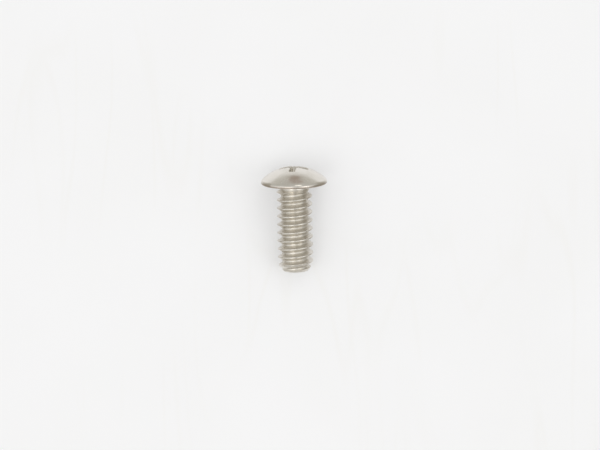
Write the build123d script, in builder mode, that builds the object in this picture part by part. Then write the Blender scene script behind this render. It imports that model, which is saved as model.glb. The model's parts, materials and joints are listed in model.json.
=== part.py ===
from build123d import *
import os
from math import asin, atan2, cos, degrees, hypot, radians, sin, sqrt, tan

# A small machine screw with a low domed head and a cross recess. Sizes are in millimetres.
# It is built upright, head up, with the flat underside of the head at height 0, and is then
# laid on its side as it comes to rest on a table: the rim of the head and the thread touch it.

# Head
head_diameter = 6.35
rim_round = 0.15
crown_height = 1.50
shoulder_radius = 0.48

# Neck between the head and the thread
neck_diameter = 2.98
neck_fillet = 0.25
neck_length = 0.42

# Right-hand unified coarse thread, 32 turns to the inch
thread_pitch = 25.4 / 32
major_diameter = 3.43
flank_angle = 30.0
runout_angle = 50.0
crest_depth_at_left = 1.57

# Shank, from the underside of the head to its end, with a slight lead and then a steeper point
shank_length = 8.47
lead_length = 0.50
lead_angle = 12.0
point_length = 0.52
point_angle = 38.0

# Cross recess: two crossed blades, a square web between them and a shallow cone below
recess_span = 2.80
recess_floor_span = 1.27
recess_end_slope = 26.5
wing_width = 0.60
wing_floor_width = 0.50
recess_web = 0.97
recess_floor_web = 0.74
recess_cone_angle = 138.0
recess_edge_break = 0.04
recess_turn = -8.0

# Thread form: an eighth of the pitch is flat at the crest and a quarter at the root
crest_flat = thread_pitch / 8
root_flat = thread_pitch / 4
thread_height = (thread_pitch - root_flat - crest_flat) / 2 / tan(radians(flank_angle))
major_radius = major_diameter / 2
root_radius = major_radius - thread_height
runout_length = thread_height / tan(radians(runout_angle))

# Faces that are joined or cut reach past each other by this much
overlap = thread_height / 8

# Head form: the shoulder arc is upright where the rim is widest, and tangent to the crown
rim_radius = head_diameter / 2
head_height = rim_round + crown_height
shoulder_reach = rim_radius - shoulder_radius
crown_rise = crown_height - shoulder_radius
crown_radius = (shoulder_reach**2 + crown_height**2 - shoulder_radius**2) / crown_rise / 2
crown_center = head_height - crown_radius
shoulder_turn = atan2(shoulder_reach, rim_round - crown_center)
shoulder_start = (crown_radius * sin(shoulder_turn), crown_center + crown_radius * cos(shoulder_turn))

# Neck form: flat underside, fillet, plain neck, then a taper down into the thread's root
neck_radius = neck_diameter / 2
underside_inner_radius = neck_radius + neck_fillet
neck_taper = neck_radius - root_radius + overlap

# Point form: the lead and then the point draw in from the crest of the thread
full_thread_depth = shank_length - point_length - lead_length
lead_radius = major_radius - lead_length * tan(radians(lead_angle))
point_radius = lead_radius - point_length * tan(radians(point_angle))

# Recess form: the slope of the blade ends sets how deep the blades go
mouth_height = crown_center + sqrt(crown_radius**2 - (recess_span / 2) ** 2)
blade_depth = (recess_span - recess_floor_span) / 2 / tan(radians(recess_end_slope))
floor_height = mouth_height - blade_depth
cone_depth = recess_floor_span / 2 / tan(radians(recess_cone_angle / 2))
recess_top = head_height + overlap


def recess_section(plane, floor_size, mouth_size):
    """Upright section of the recess on a plane, from its floor to just above the crown."""
    widening = (mouth_size - floor_size) / blade_depth
    top_size = floor_size + widening * (recess_top - floor_height)
    with BuildSketch(plane) as section:
        with BuildLine():
            Polyline(
                (-floor_size / 2, floor_height),
                (floor_size / 2, floor_height),
                (top_size / 2, recess_top),
                (-top_size / 2, recess_top),
                close=True,
            )
        make_face()
    return section.sketch


# One blade of the recess: its ends slope steeply and its sides only slightly
with BuildPart() as blade:
    blade_sides = recess_section(Plane.XZ, recess_floor_span, recess_span)
    extrude(blade_sides, amount=wing_width, both=True)
    blade_ends = recess_section(Plane.YZ.offset(-recess_span), wing_floor_width, wing_width)
    extrude(blade_ends, amount=2 * recess_span, mode=Mode.INTERSECT)

# Square web that fills the corners between the two blades
with BuildPart() as web:
    web_sides = recess_section(Plane.XZ, recess_floor_web, recess_web)
    extrude(web_sides, amount=recess_web, both=True)
    web_ends = recess_section(Plane.YZ.offset(-recess_web), recess_floor_web, recess_web)
    extrude(web_ends, amount=2 * recess_web, mode=Mode.INTERSECT)

# Hollow of the recess: a shallow cone across its floor, and the crossed blades and the web above
with BuildPart() as recess:
    with BuildSketch(Plane.XY.offset(floor_height)):
        Rectangle(recess_floor_span, wing_floor_width)
        Rectangle(wing_floor_width, recess_floor_span)
        Rectangle(recess_floor_web, recess_floor_web, rotation=45)
    extrude(amount=-cone_depth)
    with BuildSketch(Plane.XZ):
        with BuildLine():
            Polyline(
                (0, floor_height - cone_depth),
                (recess_floor_span / 2, floor_height),
                (0, floor_height),
                close=True,
            )
        make_face()
    revolve(axis=Axis.Z, mode=Mode.INTERSECT)
    for turn in (0, 90):
        add(blade.part, rotation=(0, 0, turn))
    add(web.part, rotation=(0, 0, 45))

with BuildPart() as upright:
    # Core of the shank, as thick as the thread's root
    with BuildSketch(Plane.XY):
        Circle(root_radius)
    extrude(amount=-shank_length - overlap)

    # Ridge of the thread, swept up a right-hand helix that starts past the point
    helix_depth = crest_depth_at_left + thread_pitch / 2
    while helix_depth < shank_length + thread_pitch / 2:
        helix_depth += thread_pitch
    ridge_top = neck_length + crest_flat
    with BuildLine():
        thread_path = Helix(thread_pitch, helix_depth - ridge_top, root_radius, center=(0, 0, -helix_depth))
    ridge_foot = (thread_pitch - root_flat) / 2 + overlap * tan(radians(flank_angle))
    with BuildSketch(Plane(thread_path @ 0, x_dir=(1, 0, 0), z_dir=thread_path % 0)):
        with BuildLine():
            Polyline(
                (-overlap, -ridge_foot),
                (thread_height, -crest_flat / 2),
                (thread_height, crest_flat / 2),
                (-overlap, ridge_foot),
                close=True,
            )
        make_face()
    sweep(path=thread_path, is_frenet=True)

    # Lead and point: everything outside their slopes and past the end is turned away
    clear_radius = major_radius + thread_height
    clear_depth = helix_depth + thread_pitch
    clear_start = full_thread_depth - (clear_radius - major_radius) / tan(radians(lead_angle))
    with BuildSketch(Plane.XZ):
        with BuildLine():
            Polyline(
                (clear_radius, -clear_start),
                (lead_radius, -full_thread_depth - lead_length),
                (point_radius, -shank_length),
                (0, -shank_length),
                (0, -clear_depth),
                (clear_radius, -clear_depth),
                close=True,
            )
        make_face()
    revolve(axis=Axis.Z, mode=Mode.SUBTRACT)

    # Run-out: the crest fades to nothing as the thread reaches the neck
    with BuildSketch(Plane.XZ):
        with BuildLine():
            Polyline(
                (root_radius, overlap),
                (root_radius, -neck_length),
                (major_radius, -neck_length - runout_length),
                (clear_radius, -neck_length - runout_length),
                (clear_radius, overlap),
                close=True,
            )
        make_face()
    revolve(axis=Axis.Z, mode=Mode.SUBTRACT)

    # Head and neck, turned as one profile
    with BuildSketch(Plane.XZ):
        with BuildLine():
            crown = RadiusArc((0, head_height), shoulder_start, crown_radius)
            shoulder = RadiusArc(crown @ 1, (rim_radius, rim_round), shoulder_radius)
            rim = RadiusArc(shoulder @ 1, (rim_radius - rim_round, 0), rim_round)
            underside = Line(rim @ 1, (underside_inner_radius, 0))
            neck_curve = RadiusArc(underside @ 1, (neck_radius, -neck_fillet), -neck_fillet)
            Polyline(
                neck_curve @ 1,
                (neck_radius, -neck_length),
                (neck_radius - neck_taper, -neck_length - neck_taper),
                (0, -neck_length - neck_taper),
                (0, head_height),
            )
        make_face()
    revolve(axis=Axis.Z)

    # Recess, turned the way its wings lie, with the edge of its mouth broken
    add(recess.part, rotation=(0, 0, recess_turn), mode=Mode.SUBTRACT)
    crown_face = faces().filter_by(GeomType.SPHERE).sort_by(SortBy.AREA)[-1]
    mouth_edges = crown_face.edges().filter_by_position(Axis.Z, mouth_height - overlap, head_height)
    chamfer(mouth_edges, recess_edge_break)

# Rest: the slope at which the rim's lower round and the last full turn touch one table
contact_depth = crest_depth_at_left + thread_pitch / 4
while contact_depth + thread_pitch + crest_flat / 2 <= full_thread_depth:
    contact_depth += thread_pitch
contact_run = rim_round + contact_depth + crest_flat / 2
contact_rise = rim_radius - rim_round - major_radius
rest_tilt = atan2(contact_rise, contact_run) + asin(rim_round / hypot(contact_rise, contact_run))
laid_down = Rotation(degrees(rest_tilt) - 90, 0, 0)
extent = (laid_down * upright.part).bounding_box()

with BuildPart() as screw:
    with Locations(Location((0, -extent.center().Y, -extent.min.Z)) * laid_down):
        add(upright.part)

screw.part.label = "screw"
os.makedirs("parts", exist_ok=True)
export_step(screw.part, "parts/screw.step")
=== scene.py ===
import json
import math

import bpy
from mathutils import Matrix, Vector


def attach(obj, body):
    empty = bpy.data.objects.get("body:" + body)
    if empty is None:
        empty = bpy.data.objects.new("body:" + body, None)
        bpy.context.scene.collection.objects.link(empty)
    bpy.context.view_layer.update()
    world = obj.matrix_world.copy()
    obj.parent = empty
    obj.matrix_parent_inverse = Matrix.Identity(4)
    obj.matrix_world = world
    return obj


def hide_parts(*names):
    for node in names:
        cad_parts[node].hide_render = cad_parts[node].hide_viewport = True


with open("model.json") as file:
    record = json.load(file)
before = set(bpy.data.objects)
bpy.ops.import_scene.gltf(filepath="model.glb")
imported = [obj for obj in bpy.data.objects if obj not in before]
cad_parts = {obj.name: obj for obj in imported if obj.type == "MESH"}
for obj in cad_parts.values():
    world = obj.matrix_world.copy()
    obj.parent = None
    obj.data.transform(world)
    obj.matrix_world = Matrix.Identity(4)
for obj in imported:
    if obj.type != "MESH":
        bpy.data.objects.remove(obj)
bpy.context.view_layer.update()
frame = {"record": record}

# Sizes are in metres. The screw is described upright, head up, with the flat underside of its
# head at height 0, and is then laid where the construction model lies.
MM = 0.001
quarter_turn = math.radians(90)

# Head
head_diameter = 6.35 * MM
rim_round = 0.15 * MM
crown_height = 1.50 * MM
shoulder_radius = 0.48 * MM

# Neck between the head and the thread
neck_diameter = 2.98 * MM
neck_fillet = 0.25 * MM
neck_length = 0.42 * MM

# Right-hand thread, 32 turns to the inch, with a crest on the left at a known depth
thread_pitch = 25.4 * MM / 32
crest_flat = thread_pitch / 8
root_flat = thread_pitch / 4
major_diameter = 3.43 * MM
flank_angle = math.radians(30)
runout_angle = math.radians(50)
crest_depth_at_left = 1.57 * MM
crest_round = 0.05 * MM
root_round = 0.12 * MM
seam_width = 0.035 * MM

# Shank, from the underside of the head to its end, with a slight lead and then a steeper point
shank_length = 8.47 * MM
lead_length = 0.50 * MM
lead_angle = math.radians(12)
point_length = 0.52 * MM
point_angle = math.radians(38)
end_dish = 0.07 * MM

# Cross recess: two crossed wings, a square web between them and a shallow cone below
recess_span = 2.80 * MM
recess_floor_span = 1.27 * MM
recess_end_slope = math.radians(26.5)
wing_width = 0.60 * MM
wing_floor_width = 0.50 * MM
recess_web = 0.97 * MM
recess_floor_web = 0.74 * MM
recess_cone_angle = math.radians(138)
recess_turn = math.radians(-8)
recess_edge_round = 0.06 * MM
wing_corner_round = 0.06 * MM
web_corner_round = 0.03 * MM

# How finely the surface is divided: columns round the screw, and rows on its thread and its end
columns = 160
eighth = columns // 8
rows_per_turn = 32
end_rows = 12

# The rows on the end lie closer together towards its edge, by this power
end_spacing = 1.5

# Points along an eighth of the recess's outline, where the wing's side takes what the rest leaves
wing_end_shares = (0.0, 0.4, 0.75, 1.0)
wing_corner_steps = 3
web_corner_steps = 2
web_side_steps = 3
other_points = len(wing_end_shares) + wing_corner_steps + web_corner_steps + web_side_steps
wing_side_steps = eighth + 1 - other_points

# Rings of the recess: out over its floor, up its wall and round the edge of its mouth
floor_shares = (0.15, 0.35, 0.55, 0.75, 0.9, 0.97, 1.0)
wall_shares = (0.02, 0.06, 0.15, 0.3, 0.45, 0.6, 0.75, 0.88, 0.96, 1.0)
edge_rings = 4

# The height of the mouth is found in rounds, because the wall leans and the crown is domed
mouth_rounds = 12

# Rings outside the recess: from its outline to a circle on the crown, and on down to the thread
morph_radius = 2.0 * MM
morph_shares = (0.02, 0.06, 0.13, 0.23, 0.36, 0.5, 0.65, 0.82, 1.0)
crown_rings = 10
shoulder_rings = 10
rim_rings = 7
underside_rings = 8
fillet_rings = 6
neck_rings = 4

# The surface is a little uneven, never standing proud of its true form
unevenness = 0.006 * MM
unevenness_width = 0.75 * MM
unevenness_detail = 2.0
unevenness_seed = 3.0

# The head, the thread and the end become one where their points lie closer than this
weld_distance = 0.0002 * MM

# The photograph: its size in pixels, its pixels to a metre, where the middle of the head's rim
# lies in it, and how far the screw leans in it
photo_width = 600
photo_height = 450
photo_scale = 10.43 / MM
rim_pixel = (294.0, 182.0)
photo_roll = math.radians(1.2)

# The camera, which is so far up that the screw shows hardly any perspective
camera_height = 450 * MM
sensor_width = 36.0

# Derived sizes
thread_height = (thread_pitch - root_flat - crest_flat) / 2 / math.tan(flank_angle)
major_radius = major_diameter / 2
root_radius = major_radius - thread_height
rim_radius = head_diameter / 2
head_height = rim_round + crown_height
shoulder_reach = rim_radius - shoulder_radius
crown_rise = crown_height - shoulder_radius
crown_radius = (shoulder_reach**2 + crown_height**2 - shoulder_radius**2) / crown_rise / 2
crown_center = head_height - crown_radius
shoulder_turn = math.atan2(shoulder_reach, rim_round - crown_center)
neck_radius = neck_diameter / 2
lead_start = shank_length - point_length - lead_length
lead_radius = major_radius - lead_length * math.tan(lead_angle)
point_radius = lead_radius - point_length * math.tan(point_angle)
mouth_height = crown_center + math.sqrt(crown_radius**2 - (recess_span / 2) ** 2)
blade_depth = (recess_span - recess_floor_span) / 2 / math.tan(recess_end_slope)
floor_height = mouth_height - blade_depth
cone_depth = recess_floor_span / 2 / math.tan(recess_cone_angle / 2)


def spread(count, low=0.0, high=1.0):
    """Evenly spaced values after low, up to and with high."""
    return [low + (high - low) * step / count for step in range(1, count + 1)]


def limited(share):
    """A share kept between 0 and 1."""
    return min(1.0, max(0.0, share))


def crown_level(radius):
    """Height of the domed crown at a distance from the axis."""
    return crown_center + math.sqrt(crown_radius**2 - radius**2)


def outline_eighth(span, wing, web):
    """An eighth of the cross outline, from the middle of a wing's end to the middle of the web."""
    half_span = span / 2
    half_wing = wing / 2
    web_middle = web / math.sqrt(8)
    corner = wing_corner_round
    inner_x = 2 * web_middle - half_wing
    tangent = web_corner_round * math.tan(math.radians(22.5))
    points = [(half_span, (half_wing - corner) * share) for share in wing_end_shares]
    for turn in spread(wing_corner_steps, 0.0, quarter_turn):
        x = half_span - corner + corner * math.cos(turn)
        points.append((x, half_wing - corner + corner * math.sin(turn)))
    side_start = half_span - corner
    side_end = inner_x + tangent
    points += [(x, half_wing) for x in spread(wing_side_steps, side_start, side_end)]
    for turn in spread(web_corner_steps, math.radians(-90), math.radians(-135)):
        x = inner_x + tangent + web_corner_round * math.cos(turn)
        points.append((x, half_wing + web_corner_round * (1 + math.sin(turn))))
    last_x, last_y = points[-1]
    for share in spread(web_side_steps):
        x = last_x + (web_middle - last_x) * share
        points.append((x, last_y + (web_middle - last_y) * share))
    return points


def outline_point(step, level, offset):
    """A point of the recess wall at a level, moved out of the hollow by the offset."""
    rise = max(0.0, (level - floor_height) / blade_depth)
    span = recess_floor_span + (recess_span - recess_floor_span) * rise + 2 * offset
    wing = wing_floor_width + (wing_width - wing_floor_width) * rise + 2 * offset
    web = recess_floor_web + (recess_web - recess_floor_web) * rise + 2 * offset
    quarter, place = divmod(step, 2 * eighth)
    points = outline_eighth(span, wing, web)
    if place <= eighth:
        x, y = points[place]
    else:
        y, x = points[2 * eighth - place]
    turn = recess_turn + quarter * quarter_turn
    turned_x = x * math.cos(turn) - y * math.sin(turn)
    turned_y = x * math.sin(turn) + y * math.cos(turn)
    return Vector((turned_x, turned_y, level))


def mouth_point(step, offset, drop):
    """A point near the recess's mouth, the drop below the crown and the offset outside the wall."""
    level = head_height
    for _ in range(mouth_rounds):
        point = outline_point(step, level, offset)
        level = crown_level(math.hypot(point.x, point.y)) - drop
    return outline_point(step, level, offset)


def floor_point(step, share):
    """A point on the coned floor of the recess, at a share of the way out to the wall."""
    edge = outline_point(step, floor_height, 0.0) * share
    reach = math.hypot(edge.x, edge.y) / (recess_floor_span / 2)
    edge.z = floor_height - cone_depth * max(0.0, 1.0 - reach)
    return edge


def ring_point(step, radius, level):
    """A point on a ring round the axis."""
    turn = recess_turn + math.tau * step / columns
    return Vector((radius * math.cos(turn), radius * math.sin(turn), level))


def recess_rows():
    """Rings of the recess, from the cone at its bottom to the rounded edge of its mouth."""
    steps = range(columns)
    rows = [[floor_point(step, share) for step in steps] for share in floor_shares]
    bottoms = rows[-1]
    tops = [mouth_point(step, 0.0, recess_edge_round) for step in steps]
    for share in wall_shares:
        levels = [bottoms[step].z + (tops[step].z - bottoms[step].z) * share for step in steps]
        rows.append([outline_point(step, levels[step], 0.0) for step in steps])
    for turn in spread(edge_rings, 0.0, quarter_turn):
        offset = recess_edge_round * (1 - math.cos(turn))
        drop = recess_edge_round * (1 - math.sin(turn))
        rows.append([mouth_point(step, offset, drop) for step in steps])
    return rows


def crown_rows(mouth):
    """Rings on the crown that change from the outline of the recess to a circle."""
    rows = []
    for share in morph_shares:
        row = []
        for step in range(columns):
            point = mouth[step].lerp(ring_point(step, morph_radius, 0.0), share)
            row.append(Vector((point.x, point.y, crown_level(math.hypot(point.x, point.y)))))
        rows.append(row)
    return rows


def head_profile():
    """Radius and height of the rings from the crown over the rim to the end of the neck."""
    profile = []
    crown_start = math.asin(morph_radius / crown_radius)
    for turn in spread(crown_rings, crown_start, shoulder_turn):
        radius = crown_radius * math.sin(turn)
        profile.append((radius, crown_center + crown_radius * math.cos(turn)))
    for turn in spread(shoulder_rings, shoulder_turn, quarter_turn):
        radius = shoulder_reach + shoulder_radius * math.sin(turn)
        profile.append((radius, rim_round + shoulder_radius * math.cos(turn)))
    for turn in spread(rim_rings, 0.0, quarter_turn):
        radius = rim_radius - rim_round + rim_round * math.cos(turn)
        profile.append((radius, rim_round - rim_round * math.sin(turn)))
    inner_radius = neck_radius + neck_fillet
    flat_radii = spread(underside_rings, rim_radius - rim_round, inner_radius)
    profile += [(radius, 0.0) for radius in flat_radii]
    for turn in spread(fillet_rings, 0.0, quarter_turn):
        radius = inner_radius - neck_fillet * math.sin(turn)
        profile.append((radius, -neck_fillet * (1 - math.cos(turn))))
    neck_levels = spread(neck_rings, -neck_fillet, -neck_length)
    profile += [(neck_radius, level) for level in neck_levels]
    return profile


def rim_wear_and_shade(point):
    """How much handling has thinned the plate and painted shade darkens it: all on the rim's lower
    round, less farther off.
    """
    above = max(0.0, point.z - rim_round) / rim_round
    inside = max(0.0, rim_radius - rim_round - math.hypot(point.x, point.y)) / rim_round
    return max(0.0, 1.0 - above - 0.5 * inside)


def neck_shelter(point):
    """How sheltered a point of the neck is, as on the thread below it, which darkens it with film
    and painted shade.
    """
    sunk = (major_radius - math.hypot(point.x, point.y)) / thread_height
    return max(0.0, sunk) if point.z < 0.0 else 0.0


def keep_values(mesh, name, values):
    """Keeps values for the mesh's first points under a name, for the material to read."""
    kept = mesh.attributes.new(name, "FLOAT", "POINT").data
    for index, value in enumerate(values):
        kept[index].value = value


def head_mesh():
    """The head with its recess and neck as rings, open only where the thread joins it."""
    rows = recess_rows()
    recess_count = len(rows)
    rows += crown_rows(rows[-1])
    for radius, level in head_profile():
        rows.append([ring_point(step, radius, level) for step in range(columns)])
    points = [Vector((0.0, 0.0, floor_height - cone_depth))]
    for row in rows:
        points += row
    faces = [(0, 1 + step, 1 + (step + 1) % columns) for step in range(columns)]
    for row in range(len(rows) - 1):
        inner = 1 + row * columns
        outer = inner + columns
        for step in range(columns):
            beside = (step + 1) % columns
            faces.append((inner + step, outer + step, outer + beside, inner + beside))
    mesh = bpy.data.meshes.new("head_and_neck")
    mesh.from_pydata(points, [], faces)
    # The rim's lower round gets worn plate and painted shade
    keep_values(mesh, "rim_wear_and_shade_share", [rim_wear_and_shade(point) for point in points])
    keep_values(mesh, "rolled", [limited(-point.z / neck_fillet) for point in points])
    pressed_points = points[:1 + recess_count * columns]
    sunk = [crown_level(math.hypot(point.x, point.y)) - point.z for point in pressed_points]
    keep_values(mesh, "pressed", [limited(depth / recess_edge_round) for depth in sunk])
    # Film and painted shade grow with depth in the recess and on the neck
    recess_shelter = [math.sqrt(limited(depth / blade_depth)) for depth in sunk]
    outer_shelter = [neck_shelter(point) for point in points[len(sunk):]]
    keep_values(mesh, "shelter", recess_shelter + outer_shelter)
    mesh.update()
    return mesh


# Helpers for geometry and shader trees alike

def feed(tree, socket, value):
    """Links a socket to another, or sets its value."""
    if isinstance(value, bpy.types.NodeSocket):
        tree.links.new(value, socket)
    else:
        socket.default_value = value


def math_node(tree, operation, *values):
    """A Math node with its values, which gives its result."""
    node = tree.nodes.new("ShaderNodeMath")
    node.operation = operation
    for socket, value in zip(node.inputs, values):
        feed(tree, socket, value)
    return node.outputs[0]


def make_node(tree, kind, settings=None, **values):
    """A node of a kind, with its settings, and its inputs by name with underscores for spaces."""
    node = tree.nodes.new(kind)
    for name, value in (settings or {}).items():
        setattr(node, name, value)
    for name, value in values.items():
        feed(tree, node.inputs[name.replace("_", " ")], value)
    return node


def new_tree(name, kind, inputs, outputs):
    """A node group with named inputs and outputs, and its two end nodes."""
    tree = bpy.data.node_groups.new(name, kind)
    for label, socket_type, value in inputs:
        socket = tree.interface.new_socket(name=label, in_out="INPUT", socket_type=socket_type)
        if value is not None:
            socket.default_value = value
    for label, socket_type in outputs:
        tree.interface.new_socket(name=label, in_out="OUTPUT", socket_type=socket_type)
    return tree, tree.nodes.new("NodeGroupInput"), tree.nodes.new("NodeGroupOutput")


def thread_radius(tree, sizes, depth, on_row):
    """Radius of the thread at a depth, from how far its row lies from the nearest crest."""
    half_pitch = math_node(tree, "DIVIDE", sizes["Pitch"], 2.0)
    from_crest = math_node(tree, "PINGPONG", on_row, half_pitch)
    half_flat = math_node(tree, "DIVIDE", sizes["Crest Flat"], 2.0)
    past_crest = math_node(tree, "SUBTRACT", from_crest, half_flat)
    flank_slope = math_node(tree, "TANGENT", sizes["Flank Angle"])
    fall = math_node(tree, "DIVIDE", past_crest, flank_slope)
    flank = math_node(tree, "SUBTRACT", sizes["Major Radius"], fall)
    crest = math_node(tree, "SMOOTH_MIN", flank, sizes["Major Radius"], sizes["Crest Round"])
    ridge = math_node(tree, "SMOOTH_MAX", crest, sizes["Root Radius"], sizes["Root Round"])

    past_neck = math_node(tree, "SUBTRACT", depth, sizes["Neck Length"])
    runout_slope = math_node(tree, "TANGENT", sizes["Runout Angle"])
    rise = math_node(tree, "MULTIPLY", past_neck, runout_slope)
    runout = math_node(tree, "ADD", sizes["Root Radius"], rise)
    faded = math_node(tree, "SMOOTH_MIN", ridge, runout, sizes["Crest Round"])
    taper = math_node(tree, "SUBTRACT", sizes["Neck Radius"], past_neck)
    necked = math_node(tree, "SMOOTH_MAX", faded, taper, sizes["Crest Round"])

    past_lead = math_node(tree, "SUBTRACT", depth, sizes["Lead Start"])
    lead_slope = math_node(tree, "TANGENT", sizes["Lead Angle"])
    lead_fall = math_node(tree, "MULTIPLY", past_lead, lead_slope)
    lead = math_node(tree, "SUBTRACT", sizes["Major Radius"], lead_fall)
    led = math_node(tree, "SMOOTH_MIN", necked, lead, sizes["Crest Round"])
    from_end = math_node(tree, "SUBTRACT", sizes["Shank Length"], depth)
    point_slope = math_node(tree, "TANGENT", sizes["Point Angle"])
    point_rise = math_node(tree, "MULTIPLY", from_end, point_slope)
    point = math_node(tree, "ADD", sizes["Point Radius"], point_rise)
    return math_node(tree, "MINIMUM", led, point)


def round_the_axis(tree, mesh, radius, turn, depth):
    """Moves a flat grid's points to their radius, turn and depth round the axis."""
    x = math_node(tree, "MULTIPLY", radius, math_node(tree, "COSINE", turn))
    y = math_node(tree, "MULTIPLY", radius, math_node(tree, "SINE", turn))
    z = math_node(tree, "MULTIPLY", depth, -1.0)
    place = make_node(tree, "ShaderNodeCombineXYZ", X=x, Y=y, Z=z)
    moved = make_node(tree, "GeometryNodeSetPosition", Geometry=mesh, Position=place.outputs[0])
    return moved.outputs[0]


def store_value(tree, mesh, name, value):
    """Keeps a value on a mesh's points under a name, for the material to read."""
    settings = {"data_type": "FLOAT", "domain": "POINT"}
    return make_node(tree, "GeometryNodeStoreNamedAttribute", settings, Geometry=mesh, Name=name,
                     Value=value).outputs[0]


def rolled_thread_tree(sizes):
    """Joins a right-hand thread and the end of the shank to a head whose neck is open."""
    inputs = [("Geometry", "NodeSocketGeometry", None)]
    for label, value in sizes.items():
        kind = "NodeSocketInt" if isinstance(value, int) else "NodeSocketFloat"
        inputs.append((label, kind, value))
    inputs.append(("Material", "NodeSocketMaterial", None))
    outputs = [("Geometry", "NodeSocketGeometry")]
    tree, start, end = new_tree("rolled_thread", "GeometryNodeTree", inputs, outputs)
    given = {socket.name: socket for socket in start.outputs if socket.name}

    # A flat grid, one turn wide and as many turns long as the shank needs. It is sheared, so that
    # its rows follow the crest and its first column meets its last, a turn further on.
    column_count = math_node(tree, "ADD", given["Columns"], 1.0)
    row_count = math_node(tree, "MULTIPLY_ADD", given["Turns"], given["Rows per Turn"], 1.0)
    sheet = make_node(tree, "GeometryNodeMeshGrid", Size_X=1.0, Size_Y=given["Turns"],
                      Vertices_X=column_count, Vertices_Y=row_count)
    flat_position = make_node(tree, "GeometryNodeInputPosition").outputs[0]
    place = make_node(tree, "ShaderNodeSeparateXYZ", Vector=flat_position)
    across = math_node(tree, "ADD", place.outputs["X"], 0.5)
    half_turns = math_node(tree, "DIVIDE", given["Turns"], 2.0)
    along = math_node(tree, "ADD", place.outputs["Y"], half_turns)
    row_depth = math_node(tree, "MULTIPLY_ADD", along, given["Pitch"], given["Start Depth"])
    full_depth = math_node(tree, "MULTIPLY_ADD", across, given["Pitch"], row_depth)
    deep_enough = math_node(tree, "MAXIMUM", full_depth, given["Neck Length"])
    depth = math_node(tree, "MINIMUM", deep_enough, given["Shank Length"])
    turn = math_node(tree, "MULTIPLY_ADD", across, -math.tau, given["Start Turn"])
    on_row = math_node(tree, "SUBTRACT", row_depth, given["Crest Depth"])
    radius = thread_radius(tree, given, depth, on_row)
    thread = round_the_axis(tree, sheet.outputs["Mesh"], radius, turn, depth)

    # The end of the shank is slightly dished, as rolling leaves it
    end_sheet = make_node(tree, "GeometryNodeMeshGrid", Size_X=1.0, Size_Y=1.0,
                          Vertices_X=column_count, Vertices_Y=given["End Rows"])
    inward = math_node(tree, "ADD", place.outputs["Y"], 0.5)
    spaced = math_node(tree, "POWER", inward, given["End Spacing"])
    outward = math_node(tree, "SUBTRACT", 1.0, spaced)
    end_radius = math_node(tree, "MULTIPLY", outward, given["Point Radius"])
    bowl = math_node(tree, "SUBTRACT", 1.0, math_node(tree, "POWER", outward, 2.0))
    dish = math_node(tree, "MULTIPLY", math_node(tree, "POWER", bowl, 2.0), given["End Dish"])
    end_depth = math_node(tree, "SUBTRACT", given["Shank Length"], dish)
    end_face = round_the_axis(tree, end_sheet.outputs["Mesh"], end_radius, turn, end_depth)

    # How sheltered the metal is, which darkens it with film and painted shade: 0 on the crests, 1
    # in the roots
    round_position = make_node(tree, "GeometryNodeInputPosition").outputs[0]
    here = make_node(tree, "ShaderNodeSeparateXYZ", Vector=round_position)
    x_square = math_node(tree, "MULTIPLY", here.outputs["X"], here.outputs["X"])
    squares = math_node(tree, "MULTIPLY_ADD", here.outputs["Y"], here.outputs["Y"], x_square)
    sunk = math_node(tree, "SUBTRACT", given["Major Radius"], math_node(tree, "SQRT", squares))
    height = math_node(tree, "SUBTRACT", given["Major Radius"], given["Root Radius"])
    shelter = math_node(tree, "DIVIDE", sunk, height)
    thread = store_value(tree, thread, "shelter", shelter)

    # A fine seam where the rolled metal meets along the crest
    half_pitch = math_node(tree, "DIVIDE", given["Pitch"], 2.0)
    from_crest = math_node(tree, "PINGPONG", on_row, half_pitch)
    seam_share = math_node(tree, "DIVIDE", from_crest, given["Seam Width"])
    seam = math_node(tree, "SUBTRACT", 1.0, seam_share)
    thread = store_value(tree, thread, "crest_seam", math_node(tree, "MAXIMUM", seam, 0.0))
    thread = store_value(tree, thread, "rolled", 1.0)
    end_face = store_value(tree, end_face, "cut_end", 1.0)

    joined = tree.nodes.new("GeometryNodeJoinGeometry")
    for part in (end_face, thread, given["Geometry"]):
        tree.links.new(part, joined.inputs[0])
    merged = make_node(tree, "GeometryNodeMergeByDistance", Geometry=joined.outputs[0],
                       Distance=given["Weld"])

    # Slight unevenness, inwards only
    scale = math_node(tree, "DIVIDE", 1.0, given["Unevenness Width"])
    waves = make_node(tree, "ShaderNodeTexNoise", {"noise_dimensions": "4D"}, Scale=scale,
                      Detail=given["Unevenness Detail"], W=given["Unevenness Seed"])
    inward_share = math_node(tree, "SUBTRACT", waves.outputs[0], 1.0)
    sink = math_node(tree, "MULTIPLY", inward_share, given["Unevenness"])
    normal = make_node(tree, "GeometryNodeInputNormal").outputs[0]
    push = make_node(tree, "ShaderNodeVectorMath", {"operation": "SCALE"}, Vector=normal,
                     Scale=sink)
    moved = make_node(tree, "GeometryNodeSetPosition", Geometry=merged.outputs[0],
                      Offset=push.outputs[0])

    smooth = make_node(tree, "GeometryNodeSetShadeSmooth", Geometry=moved.outputs[0],
                       Shade_Smooth=True)
    real = make_node(tree, "GeometryNodeRealizeInstances", Geometry=smooth.outputs[0])
    finished = make_node(tree, "GeometryNodeSetMaterial", Geometry=real.outputs[0],
                         Material=given["Material"])
    tree.links.new(finished.outputs[0], end.inputs[0])
    return tree


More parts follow.
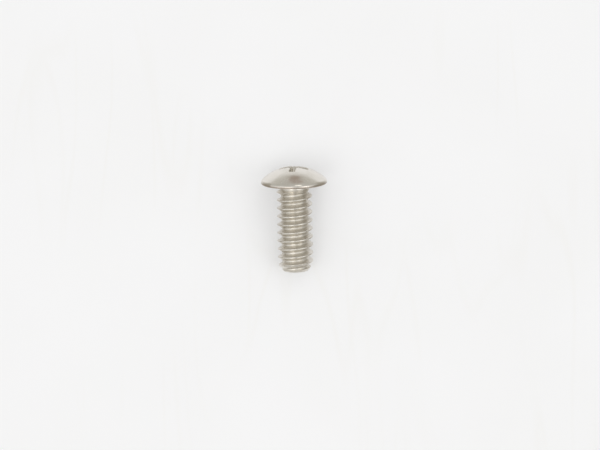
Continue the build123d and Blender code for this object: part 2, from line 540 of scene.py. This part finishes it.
def thread_sizes():
    """What the thread's tree is given, by the names of its inputs."""
    turn_to_left = math.radians(180) - recess_turn
    crest_depth = crest_depth_at_left + thread_pitch * turn_to_left / math.tau
    turns_before = math.ceil((crest_depth + thread_pitch - neck_length) / thread_pitch)
    start_depth = crest_depth - turns_before * thread_pitch
    rows = math.ceil((shank_length - start_depth) / thread_pitch * rows_per_turn)
    return {
        "Columns": columns,
        "Rows per Turn": rows_per_turn,
        "End Rows": end_rows,
        "End Spacing": end_spacing,
        "Turns": rows / rows_per_turn,
        "Start Turn": recess_turn,
        "Start Depth": start_depth,
        "Crest Depth": crest_depth,
        "Crest Flat": crest_flat,
        "Pitch": thread_pitch,
        "Major Radius": major_radius,
        "Root Radius": root_radius,
        "Flank Angle": flank_angle,
        "Crest Round": crest_round,
        "Root Round": root_round,
        "Neck Radius": neck_radius,
        "Neck Length": neck_length,
        "Runout Angle": runout_angle,
        "Lead Start": lead_start,
        "Lead Angle": lead_angle,
        "Point Radius": point_radius,
        "Point Angle": point_angle,
        "Shank Length": shank_length,
        "End Dish": end_dish,
        "Seam Width": seam_width,
        "Weld": weld_distance,
        "Unevenness": unevenness,
        "Unevenness Width": unevenness_width,
        "Unevenness Detail": unevenness_detail,
        "Unevenness Seed": unevenness_seed,
    }


def laid_down():
    """Turns and moves the upright screw to where the construction model lies."""
    mounts = frame["record"]["mounts"]
    bearing = next(mount for mount in mounts if mount["name"] == "bearing_face")
    up = -Vector(bearing["axis"]).normalized()
    side = Vector((1.0, 0.0, 0.0))
    back = up.cross(side)
    seat = Vector((0.0, bearing["pos_m"][1], bearing["pos_m"][2]))
    turned = Matrix((side, back, up)).transposed().to_4x4()
    return Matrix.Translation(seat) @ turned


def make_screw(material):
    """The whole screw as one closed mesh, in its place."""
    blank = bpy.data.objects.new("screw_blank", head_mesh())
    bpy.context.scene.collection.objects.link(blank)
    sizes = thread_sizes()
    rolling = blank.modifiers.new("rolled_thread", "NODES")
    rolling.node_group = rolled_thread_tree(sizes)
    given = dict(sizes, Material=material)
    for item in rolling.node_group.interface.items_tree:
        if item.in_out == "INPUT" and item.name in given:
            rolling[item.identifier] = given[item.name]
    blank.update_tag()
    evaluated = blank.evaluated_get(bpy.context.evaluated_depsgraph_get())
    mesh = bpy.data.meshes.new_from_object(evaluated)
    mesh.name = "plated_screw"
    mesh.transform(laid_down())
    bpy.data.objects.remove(blank)
    screw = bpy.data.objects.new("plated_screw", mesh)
    bpy.context.scene.collection.objects.link(screw)
    return screw


def smooth_ramp(tree, value, low, high, start=0.0, end=1.0):
    """Goes smoothly from start to end as a value goes from low to high."""
    return make_node(tree, "ShaderNodeMapRange", {"interpolation_type": "SMOOTHSTEP"}, Value=value,
                     From_Min=low, From_Max=high, To_Min=start, To_Max=end).outputs[0]


# Surface effects that the materials share

def mottle_group():
    """Soft cloudy variation, from 0 to 1, for tarnish, smudges and fine grain."""
    tree, start, end = new_tree(
        "soft_mottle", "ShaderNodeTree",
        [("Vector", "NodeSocketVector", None), ("Scale", "NodeSocketFloat", 1000.0),
         ("Detail", "NodeSocketFloat", 3.0), ("Low", "NodeSocketFloat", 0.35),
         ("High", "NodeSocketFloat", 0.65)],
        [("Value", "NodeSocketFloat")])
    given = start.outputs
    noise = make_node(tree, "ShaderNodeTexNoise", Vector=given["Vector"], Scale=given["Scale"],
                      Detail=given["Detail"])
    ranged = smooth_ramp(tree, noise.outputs["Fac"], given["Low"], given["High"])
    tree.links.new(ranged, end.inputs["Value"])
    return tree


# The sets of scratches: how far each is turned, in radians, and how far it is shifted. The noise
# that draws them is stretched along one axis.
scratch_sets = ((0.4, 0.0), (1.5, 7.0), (2.6, 3.0))
scratch_stretch = 0.12
scratch_detail = 2.0

# Scratches lie in patches: a noise of this share of their scale shows them where it is high
sparse_scale = 0.6
sparse_low = 0.45
sparse_high = 0.65


def scratch_group():
    """Sparse fine scratches that cross each other, from 0 to 1."""
    tree, start, end = new_tree(
        "fine_scratches", "ShaderNodeTree",
        [("Vector", "NodeSocketVector", None), ("Scale", "NodeSocketFloat", 1000.0),
         ("Width", "NodeSocketFloat", 0.02), ("Amount", "NodeSocketFloat", 0.5)],
        [("Mask", "NodeSocketFloat")])
    given = start.outputs
    total = None
    for turn, shift in scratch_sets:
        turned = make_node(tree, "ShaderNodeMapping", Vector=given["Vector"],
                           Rotation=(0.5 * turn, turn, turn), Scale=(1.0, scratch_stretch, 1.0),
                           Location=(shift, shift, shift))
        noise = make_node(tree, "ShaderNodeTexNoise", Vector=turned.outputs[0],
                          Scale=given["Scale"], Detail=scratch_detail)
        from_middle = math_node(tree, "SUBTRACT", noise.outputs["Fac"], 0.5)
        centred = math_node(tree, "ABSOLUTE", from_middle)
        line = make_node(tree, "ShaderNodeMapRange", Value=centred, From_Min=0.0,
                         From_Max=given["Width"], To_Min=1.0, To_Max=0.0).outputs[0]
        total = line if total is None else math_node(tree, "MAXIMUM", total, line)
    wide_scale = math_node(tree, "MULTIPLY", given["Scale"], sparse_scale)
    where = make_node(tree, "ShaderNodeTexNoise", Vector=given["Vector"], Scale=wide_scale,
                      Detail=1.0)
    sparse = make_node(tree, "ShaderNodeMapRange", Value=where.outputs["Fac"],
                       From_Min=sparse_low, From_Max=sparse_high).outputs[0]
    in_patches = math_node(tree, "MULTIPLY", total, sparse)
    kept = math_node(tree, "MULTIPLY", in_patches, given["Amount"])
    tree.links.new(kept, end.inputs["Mask"])
    return tree


mottle = mottle_group()
scratches = scratch_group()


def place_group(tree, group, **values):
    """Puts a shared effect into a material, with its own values, and gives its result."""
    return make_node(tree, "ShaderNodeGroup", {"node_tree": group}, **values).outputs[0]


def new_material(name):
    """An empty node material with its output and its shader."""
    material = bpy.data.materials.new(name)
    material.use_nodes = True
    tree = material.node_tree
    tree.nodes.clear()
    output = tree.nodes.new("ShaderNodeOutputMaterial")
    shader = tree.nodes.new("ShaderNodeBsdfPrincipled")
    tree.links.new(shader.outputs[0], output.inputs["Surface"])
    coordinates = tree.nodes.new("ShaderNodeTexCoord").outputs["Object"]
    return material, tree, shader, coordinates


# A Mix node has its share first, its two values as sockets 2 and 3 and its two colours as 6 and 7

def mix_colors(tree, share, first, second):
    """A colour between two, by a share from 0 to 1."""
    node = make_node(tree, "ShaderNodeMix", {"data_type": "RGBA"})
    feed(tree, node.inputs[0], share)
    feed(tree, node.inputs[6], first)
    feed(tree, node.inputs[7], second)
    return node.outputs[2]


def mix_values(tree, share, first, second):
    """A value between two, by a share from 0 to 1."""
    node = make_node(tree, "ShaderNodeMix", {"data_type": "FLOAT"})
    feed(tree, node.inputs[0], share)
    feed(tree, node.inputs[2], first)
    feed(tree, node.inputs[3], second)
    return node.outputs[0]


# Colours of the plate: clean, dulled by handling, under the film and painted shade in the roots,
# and worn thin under painted shade on the rim's lower round
bright_nickel = (0.84, 0.81, 0.76, 1.0)
dull_nickel = (0.76, 0.73, 0.67, 1.0)
film_and_shade_color = (0.58, 0.54, 0.46, 1.0)
worn_plate_and_shade = (0.52, 0.45, 0.39, 1.0)

# The plate's effects, whose scale is about how many patches of an effect lie in one metre
dulling = {"Scale": 900.0, "Detail": 3.0, "Low": 0.35, "High": 0.68}
streaking = {"Scale": 3200.0, "Detail": 4.0, "Low": 0.38, "High": 0.66}
graining = {"Scale": 14000.0, "Detail": 2.0, "Low": 0.25, "High": 0.75}
scratching = {"Scale": 1500.0, "Width": 0.012, "Amount": 1.0}

# How much of each colour shows. Where there are two shares, streaks lead from one to the other
dull_share = 0.6
# The film also paints shade in the roots, the recess and on the neck
film_and_shade_shares = (0.20, 0.55)
film_and_shade_falloff = 1.6
# The rim's worn plate also paints shade on its lower round
wear_and_shade_shares = (0.65, 0.95)
seam_shares = (0.7, 0.0)

# Roughness of the plate, clean and dulled, and what each place and the scratches add to it
plate_roughness = (0.11, 0.18)
rolled_roughness = 0.09
rubbed_roughness = 0.14
sheltered_roughness = 0.16
pressed_roughness = 0.10
cut_roughness = 0.12
scratched_roughness = 0.12

# Relief of the plate: dents on the head and on the thread, and grain on smooth and coarse metal
dent_heights = (0.5, 1.6)
grain_heights = (0.3, 0.9)
relief_strength = 0.8
relief_height = 0.004 * MM


def surface_value(tree, name):
    """A value that the mesh keeps under a name."""
    settings = {"attribute_type": "GEOMETRY", "attribute_name": name}
    return make_node(tree, "ShaderNodeAttribute", settings).outputs["Fac"]


def plated_steel():
    """Bright nickel plate, lightly handled, with a darker film and painted shade in the roots, the
    recess and on the neck, and worn plate and painted shade on the rim's lower round.
    """
    material, tree, shader, coordinates = new_material("plated_steel")
    shader.inputs["Metallic"].default_value = 1.0
    shelter = surface_value(tree, "shelter")
    pressed = surface_value(tree, "pressed")
    cut_end = surface_value(tree, "cut_end")
    seam = surface_value(tree, "crest_seam")
    rolled = surface_value(tree, "rolled")
    rim_wear_and_shade_mask = surface_value(tree, "rim_wear_and_shade_share")
    patches = place_group(tree, mottle, Vector=coordinates, **dulling)
    streaks = place_group(tree, mottle, Vector=coordinates, **streaking)
    grain = place_group(tree, mottle, Vector=coordinates, **graining)
    marks = place_group(tree, scratches, Vector=coordinates, **scratching)

    dulled = math_node(tree, "MULTIPLY", patches, dull_share)
    plate = mix_colors(tree, dulled, bright_nickel, dull_nickel)
    # Worn plate and painted shade darken the rim's lower round
    wear_and_shade = math_node(tree, "MULTIPLY", rim_wear_and_shade_mask, mix_values(tree, streaks, *wear_and_shade_shares))
    worn_and_shaded = mix_colors(tree, wear_and_shade, plate, worn_plate_and_shade)
    # Film and painted shade darken the roots, the recess and the neck
    deep = math_node(tree, "POWER", shelter, film_and_shade_falloff)
    film_and_shade = math_node(tree, "MULTIPLY", deep, mix_values(tree, streaks, *film_and_shade_shares))
    filmed_and_shaded = mix_colors(tree, film_and_shade, worn_and_shaded, film_and_shade_color)
    broken_seam = math_node(tree, "MULTIPLY", seam, mix_values(tree, streaks, *seam_shares))
    seamed = mix_colors(tree, broken_seam, filmed_and_shaded, film_and_shade_color)
    tree.links.new(seamed, shader.inputs["Base Color"])

    smooth = mix_values(tree, patches, *plate_roughness)
    handled = math_node(tree, "MULTIPLY_ADD", rolled, rolled_roughness, smooth)
    rubbed_dull = math_node(tree, "MULTIPLY_ADD", rim_wear_and_shade_mask, rubbed_roughness, handled)
    sheltered = math_node(tree, "MULTIPLY_ADD", shelter, sheltered_roughness, rubbed_dull)
    coarse_recess = math_node(tree, "MULTIPLY", pressed, pressed_roughness)
    coarse_end = math_node(tree, "MULTIPLY", cut_end, cut_roughness)
    coarse = math_node(tree, "MAXIMUM", coarse_recess, coarse_end)
    unmarked = math_node(tree, "ADD", sheltered, coarse)
    rough = math_node(tree, "MULTIPLY_ADD", marks, scratched_roughness, unmarked)
    tree.links.new(rough, shader.inputs["Roughness"])

    dents = math_node(tree, "MULTIPLY", streaks, mix_values(tree, rolled, *dent_heights))
    coarse_places = math_node(tree, "MAXIMUM", pressed, cut_end)
    fine = math_node(tree, "MULTIPLY", grain, mix_values(tree, coarse_places, *grain_heights))
    raised = math_node(tree, "ADD", dents, fine)
    sunken = math_node(tree, "ADD", marks, broken_seam)
    height = math_node(tree, "SUBTRACT", raised, sunken)
    bump = make_node(tree, "ShaderNodeBump", Strength=relief_strength, Distance=relief_height,
                     Height=height)
    tree.links.new(bump.outputs[0], shader.inputs["Normal"])
    return material


# Colours of the board as it is seen: clean, smudged and scuffed
clean_board = (0.94, 0.945, 0.965, 1.0)
smudged_board = (0.925, 0.93, 0.945, 1.0)
scuffed_board = (0.91, 0.91, 0.91, 1.0)
smudging = {"Scale": 60.0, "Detail": 3.0, "Low": 0.3, "High": 0.75}
scuffing = {"Scale": 90.0, "Width": 0.01, "Amount": 0.5}
board_roughness = (0.5, 0.6)
board_specular = 0.3

# Colours of the board as the metal mirrors it, painted reflections darker than the board itself
# that only the metal shows: close by, far off the screw's ends, far beside it, and in one warm
# patch behind it
near_board = (0.92, 0.92, 0.93, 1.0)
dim_ends = (0.60, 0.59, 0.56, 1.0)
dim_sides = (0.38, 0.355, 0.31, 1.0)
dim_warm = (0.38, 0.32, 0.28, 1.0)

# Where the mirrored board grows dim, from where it starts to where it is full: off the ends,
# beside the screw, and the sine of the angle from the screw's own line that counts as beside it
ends_reach = (8 * MM, 28 * MM)
sides_reach = (2 * MM, 10 * MM)
beside_sines = (0.66, 0.93)

# The warm patch, a painted dark reflection: how far to the right its middle line lies, the slopes
# at which its full part and its edge widen behind the screw, and how far off it begins and is full
patch_offset = 1.5 * MM
patch_slopes = (0.08, 0.24)
patch_reach = (16 * MM, 36 * MM)

# This share of what is seen of the board is its plain colour, whatever light falls on it
board_lift = 0.30


def pale_board():
    """A smooth pale board with barely seen smudges and scuffs, with painted reflections that mirror
    it dimmer farther off and warm and dark in one patch.
    """
    material, tree, shader, coordinates = new_material("pale_board")
    smudges = place_group(tree, mottle, Vector=coordinates, **smudging)
    scuffs = place_group(tree, scratches, Vector=coordinates, **scuffing)
    clean = mix_colors(tree, smudges, clean_board, smudged_board)
    marked = mix_colors(tree, scuffs, clean, scuffed_board)

    # The mirrored board round the screw, a painted reflection dimmer than the board is
    place = make_node(tree, "ShaderNodeSeparateXYZ", Vector=coordinates)
    length = make_node(tree, "ShaderNodeVectorMath", {"operation": "LENGTH"}, Vector=coordinates)
    reach = length.outputs["Value"]
    far_ends = smooth_ramp(tree, reach, *ends_reach)
    far_sides = smooth_ramp(tree, reach, *sides_reach)
    sideways = math_node(tree, "ABSOLUTE", place.outputs["X"])
    aside = smooth_ramp(tree, math_node(tree, "DIVIDE", sideways, reach), *beside_sines)
    board_ends = mix_colors(tree, far_ends, near_board, dim_ends)
    board_sides = mix_colors(tree, far_sides, near_board, dim_sides)
    board_round = mix_colors(tree, aside, board_ends, board_sides)

    # The warm patch, a painted dark reflection, which widens with its distance behind the screw
    from_line = math_node(tree, "SUBTRACT", place.outputs["X"], patch_offset)
    slope = math_node(tree, "ABSOLUTE", math_node(tree, "DIVIDE", from_line, place.outputs["Y"]))
    narrow = smooth_ramp(tree, slope, *patch_slopes, start=1.0, end=0.0)
    farther = smooth_ramp(tree, place.outputs["Y"], *patch_reach)
    patch = math_node(tree, "MULTIPLY", farther, narrow)
    mirrored = mix_colors(tree, patch, board_round, dim_warm)

    path = tree.nodes.new("ShaderNodeLightPath")
    # The metal sees these painted reflections in place of the board's own colour
    shown = mix_colors(tree, path.outputs["Is Glossy Ray"], marked, mirrored)
    tree.links.new(shown, shader.inputs["Base Color"])
    tree.links.new(mix_values(tree, smudges, *board_roughness), shader.inputs["Roughness"])
    shader.inputs["Specular IOR Level"].default_value = board_specular

    # Where the board is looked at, mirrored or seen through glass, part of it is its plain colour
    seen = math_node(tree, "MAXIMUM", path.outputs["Is Camera Ray"], path.outputs["Is Glossy Ray"])
    seen = math_node(tree, "MAXIMUM", seen, path.outputs["Is Transmission Ray"])
    plain = make_node(tree, "ShaderNodeEmission", Color=shown, Strength=1.0)
    lifted = tree.nodes.new("ShaderNodeMixShader")
    feed(tree, lifted.inputs[0], math_node(tree, "MULTIPLY", seen, board_lift))
    tree.links.new(shader.outputs[0], lifted.inputs[1])
    tree.links.new(plain.outputs[0], lifted.inputs[2])
    tree.links.new(lifted.outputs[0], tree.nodes["Material Output"].inputs["Surface"])
    return material


# The floor reaches this far from the screw to each side
floor_reach = 2.0


def make_floor(material):
    """A plain pale floor under the screw."""
    mesh = bpy.data.meshes.new("floor")
    signs = ((-1, -1), (1, -1), (1, 1), (-1, 1))
    corners = [(across * floor_reach, along * floor_reach, 0.0) for across, along in signs]
    mesh.from_pydata(corners, [], [(0, 1, 2, 3)])
    mesh.materials.append(material)
    floor = bpy.data.objects.new("floor", mesh)
    bpy.context.scene.collection.objects.link(floor)


# Soft lamps: the direction that each comes from, its width in degrees, its strength and its colour
warm_light = (1.0, 0.97, 0.92)
cool_light = (0.98, 0.99, 1.0)
lamps = {
    "left_lamp": ((-0.32, -0.42, 0.85), 32, 0.25, warm_light),
    "right_lamp": ((0.62, -0.14, 0.77), 26, 0.14, warm_light),
    "back_lamp": ((0.24, 0.56, 0.79), 22, 0.09, warm_light),
    "fill_lamp": ((0.0, 0.0, 1.0), 100, 0.55, cool_light),
}

# The fill only evens out the light on the board, and no metal mirrors it
unmirrored_lamps = ["fill_lamp"]


def make_lamps():
    """Lights the screw from the left, the right and behind, and the board from straight above."""
    for name, (direction, width, strength, color) in lamps.items():
        light = bpy.data.lights.new(name, "SUN")
        light.angle = math.radians(width)
        light.energy = strength
        light.color = color
        lamp = bpy.data.objects.new(name, light)
        lamp.visible_glossy = name not in unmirrored_lamps
        lamp.rotation_mode = "QUATERNION"
        lamp.rotation_quaternion = Vector(direction).to_track_quat("Z", "Y")
        bpy.context.scene.collection.objects.link(lamp)


# A wide bright strip runs overhead from left to right, and the rest of the room is dimmer. Its
# middle lies a little in front, and it fades from its inner half width to its outer one. These
# are sines of angles from straight overhead.
strip_color = (1.00, 1.00, 0.99, 1.0)
room_color = (0.53, 0.52, 0.49, 1.0)
strip_offset = 0.13
strip_half_widths = (0.20, 0.44)

# What the camera sees past the board
backdrop_color = (0.90, 0.90, 0.90, 1.0)

# Dim stretches of the room: the direction of each, how many degrees it reaches from its middle,
# its share and its colour. Each is full out to a part of its reach.
full_part = 0.4
dim_stretches = {
    "behind": ((0.07, 0.997, 0.03), 17, 0.80, dim_warm),
    "left": ((-0.98, -0.15, 0.02), 29, 0.40, (0.32, 0.30, 0.26, 1.0)),
    "right": ((0.99, -0.15, 0.02), 29, 0.85, (0.24, 0.23, 0.20, 1.0)),
    "front": ((0.10, -0.90, 0.42), 50, 0.30, (0.30, 0.27, 0.23, 1.0)),
    "above": ((0.17, -0.14, 0.97), 17, 0.50, (0.34, 0.33, 0.31, 1.0)),
}


def make_world():
    """Soft light from a strip overhead, in a dimmer room with a few darker stretches."""
    world = bpy.data.worlds.new("soft_studio")
    bpy.context.scene.world = world
    world.use_nodes = True
    tree = world.node_tree
    tree.nodes.clear()
    output = tree.nodes.new("ShaderNodeOutputWorld")
    direction = tree.nodes.new("ShaderNodeTexCoord").outputs["Generated"]
    parts = make_node(tree, "ShaderNodeSeparateXYZ", Vector=direction)
    across = math_node(tree, "ABSOLUTE", math_node(tree, "ADD", parts.outputs["Y"], strip_offset))
    strip = smooth_ramp(tree, across, *strip_half_widths, start=1.0, end=0.0)
    color = mix_colors(tree, strip, room_color, strip_color)
    for toward, reach, share, dim in dim_stretches.values():
        near = make_node(tree, "ShaderNodeVectorMath", {"operation": "DOT_PRODUCT"})
        feed(tree, near.inputs[0], direction)
        feed(tree, near.inputs[1], tuple(Vector(toward).normalized()))
        outer = math.cos(math.radians(reach))
        inner = math.cos(math.radians(full_part * reach))
        inside = smooth_ramp(tree, near.outputs["Value"], outer, inner)
        color = mix_colors(tree, math_node(tree, "MULTIPLY", inside, share), color, dim)
    seen = tree.nodes.new("ShaderNodeLightPath").outputs["Is Camera Ray"]
    shown = mix_colors(tree, seen, color, backdrop_color)
    background = make_node(tree, "ShaderNodeBackground", Color=shown, Strength=1.0)
    tree.links.new(background.outputs[0], output.inputs["Surface"])


def make_camera():
    """Looks straight down, with the middle of the head's rim where the photograph has it."""
    data = bpy.data.cameras.new("camera")
    data.sensor_width = sensor_width
    camera = bpy.data.objects.new("camera", data)
    bpy.context.scene.collection.objects.link(camera)
    rim = laid_down() @ Vector((0.0, 0.0, rim_round))
    data.lens = photo_scale * (camera_height - rim.z) * sensor_width / photo_width
    rim_x, rim_y = rim_pixel
    from_middle = Vector((rim_x - photo_width / 2, photo_height / 2 - rim_y, 0.0)) / photo_scale
    roll = Matrix.Rotation(-photo_roll, 4, "Z")
    camera.location = Vector((rim.x, rim.y, camera_height)) - roll @ from_middle
    camera.rotation_euler = (0.0, 0.0, -photo_roll)
    bpy.context.scene.camera = camera


screw = make_screw(plated_steel())
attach(screw, "root")
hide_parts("screw")
make_floor(pale_board())
make_lamps()
make_world()
make_camera()
bpy.context.scene.view_settings.view_transform = "Standard"
